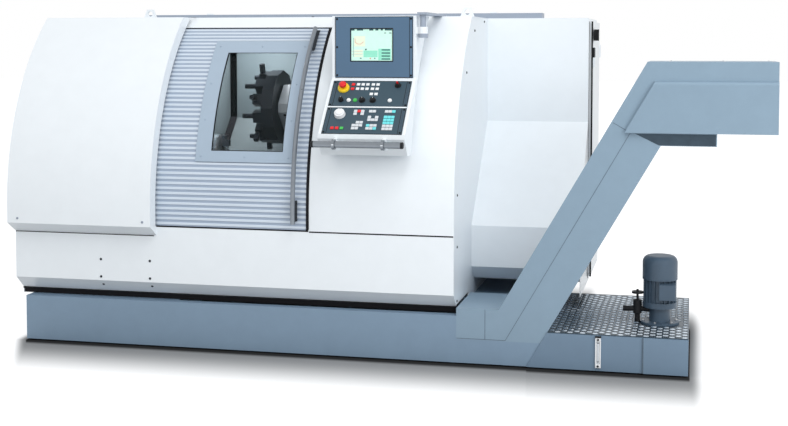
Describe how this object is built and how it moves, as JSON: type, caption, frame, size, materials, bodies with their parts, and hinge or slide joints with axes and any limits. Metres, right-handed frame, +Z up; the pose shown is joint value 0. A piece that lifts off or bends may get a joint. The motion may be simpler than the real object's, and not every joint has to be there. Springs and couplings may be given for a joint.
{
  "type": "cnc turning lathe",
  "caption": "Slant-bed CNC turning lathe with a ribbed sliding door, swivelling operator console, chip conveyor and coolant tank with pump.",
  "frame": {"origin": "centre of the bounding box on the floor", "axes": "+X along the spindle towards the conveyor, +Y from the operator to the rear, +Z up"},
  "size_m": [4.663, 2.2285, 2.121],
  "materials": {
    "white_paint": "satin",
    "ribbed_silver": "satin",
    "base_paint": "satin",
    "steel": "satin",
    "casting": "matte",
    "motor_paint": "satin",
    "rubber": "matte",
    "turret_paint": "satin",
    "dark_steel": "satin",
    "grey_sheet": "satin",
    "chamber_steel": "satin",
    "black_plastic": "matte",
    "frame_grey": "satin",
    "window_glass": "gloss",
    "conveyor_paint": "satin",
    "tread_plate": "satin",
    "screen_blue": "satin",
    "display_glass": "gloss",
    "panel_teal": "satin",
    "red_plastic": "gloss",
    "white_plastic": "gloss"
  },
  "bodies": {
    "machine": {"base_tray": "base_paint", "levelling_feet": "steel", "bed": "casting", "headstock": "casting", "main_motor": "motor_paint", "drive_belt": "rubber", "front_skirt": "white_paint", "headstock_cover": "white_paint", "right_front_panel": "white_paint", "roof_cover": "white_paint", "roof_duct": "grey_sheet", "lifting_lugs": "white_paint", "left_end_panel": "white_paint", "right_end_panel": "white_paint", "rear_panel": "white_paint", "chamber_liner": "chamber_steel", "tail_cover": "white_paint", "electrical_cabinet": "white_paint", "door_rails": "steel", "conveyor_body": "conveyor_paint", "conveyor_belt": "dark_steel", "conveyor_guard": "conveyor_paint", "conveyor_gearmotor": "motor_paint", "coolant_tank": "base_paint", "tank_lid": "tread_plate", "level_gauge": "white_plastic", "pump_flange": "motor_paint", "pump_motor_body": "motor_paint", "pump_fan_cowl": "motor_paint", "pump_valve": "black_plastic", "console_post": "grey_sheet"},
    "sliding_door": {"door_panel": "ribbed_silver", "door_window_frame": "frame_grey", "door_window_pane": "window_glass", "door_seal": "rubber", "door_handle": "steel", "door_handle_brackets": "black_plastic"},
    "console": {"console_housing": "white_paint", "screen_panel": "screen_blue", "display_screen": "display_glass", "operator_panels": "panel_teal", "console_handle": "steel"},
    "e_stop": {"e_stop_button": "red_plastic"},
    "override": {"override_knob": "white_plastic"},
    "mode": {"mode_knob": "black_plastic"},
    "spindle_unit": {"spindle": "steel", "spindle_pulley": "steel", "chuck_body": "steel"},
    "jaw_1": {"chuck_jaw_1": "steel"},
    "jaw_2": {"chuck_jaw_2": "steel"},
    "jaw_3": {"chuck_jaw_3": "steel"},
    "motor_rotor": {"motor_pulley": "steel"},
    "z_carriage": {"carriage": "casting"},
    "x_slide": {"cross_slide": "turret_paint"},
    "turret": {"turret_disc": "dark_steel", "turret_tools": "dark_steel"},
    "end_door": {"cabinet_door": "white_paint"},
    "isolator": {"main_switch": "black_plastic"},
    "valve_wheel": {"valve_handwheel": "black_plastic"},
    "pump_shaft": {"pump_rotor": "steel"}
  },
  "joints": [
    {"name": "door_slide", "type": "slide", "parent": "machine", "child": "sliding_door", "axis": [-1, 0, 0], "range_m": [0, 0.85]},
    {"name": "console_swivel", "type": "hinge", "parent": "machine", "child": "console", "pos_m": [0.2905, -0.68899, 1.95], "axis": [0, 0, 1], "range_deg": [0, 45]},
    {"name": "e_stop_press", "type": "slide", "parent": "console", "child": "e_stop", "axis": [0, 0.7315, -0.6818], "range_m": [0, 0.006], "stiffness_N_per_m": 1500},
    {"name": "override_turn", "type": "hinge", "parent": "console", "child": "override", "pos_m": [-0.16356, -0.91711, 1.4705], "axis": [0, -0.7315, 0.6818], "continuous": true},
    {"name": "mode_turn", "type": "hinge", "parent": "console", "child": "mode", "pos_m": [-0.17805, -0.84066, 1.55253], "axis": [0, -0.7315, 0.6818], "range_deg": [-120, 120]},
    {"name": "spindle_turn", "type": "hinge", "parent": "machine", "child": "spindle_unit", "pos_m": [-2.1105, -0.35399, 1.18], "axis": [1, 0, 0], "continuous": true},
    {"name": "jaw_1_grip", "type": "slide", "parent": "spindle_unit", "child": "jaw_1", "axis": [0, 0, 1], "range_m": [-0.006, 0.008]},
    {"name": "jaw_2_grip", "type": "slide", "parent": "spindle_unit", "child": "jaw_2", "axis": [0, -0.866, -0.5], "range_m": [-0.006, 0.008]},
    {"name": "jaw_3_grip", "type": "slide", "parent": "spindle_unit", "child": "jaw_3", "axis": [0, 0.866, -0.5], "range_m": [-0.006, 0.008]},
    {"name": "motor_turn", "type": "hinge", "parent": "machine", "child": "motor_rotor", "pos_m": [-2.0705, 0.70651, 0.52], "axis": [1, 0, 0], "continuous": true},
    {"name": "carriage_slide", "type": "slide", "parent": "machine", "child": "z_carriage", "axis": [1, 0, 0], "range_m": [-0.03, 0.55]},
    {"name": "cross_slide_feed", "type": "slide", "parent": "z_carriage", "child": "x_slide", "axis": [0, 0.7071, 0.7071], "range_m": [-0.06, 0.08]},
    {"name": "turret_index", "type": "hinge", "parent": "x_slide", "child": "turret", "pos_m": [-0.8685, -0.06407, 1.46991], "axis": [1, 0, 0], "continuous": true},
    {"name": "cabinet_door_hinge", "type": "hinge", "parent": "machine", "child": "end_door", "pos_m": [1.2095, 1.10531, 0.33], "axis": [0, 0, 1], "range_deg": [0, 110]},
    {"name": "main_switch_turn", "type": "hinge", "parent": "end_door", "child": "isolator", "pos_m": [1.2095, 0.53801, 1.95], "axis": [1, 0, 0], "range_deg": [-90, 0]},
    {"name": "valve_turn", "type": "hinge", "parent": "machine", "child": "valve_wheel", "pos_m": [1.5595, -0.45399, 0.4], "axis": [0, 0, 1], "range_deg": [-720, 0]},
    {"name": "pump_spin", "type": "hinge", "parent": "machine", "child": "pump_shaft", "pos_m": [1.6905, -0.45399, 0.319], "axis": [0, 0, 1], "continuous": true}
  ],
  "couplings": [
    {"joint": "jaw_2_grip", "follows": "jaw_1_grip", "ratio": 1},
    {"joint": "jaw_3_grip", "follows": "jaw_1_grip", "ratio": 1},
    {"joint": "motor_turn", "follows": "spindle_turn", "ratio": 1.3684}
  ]
}
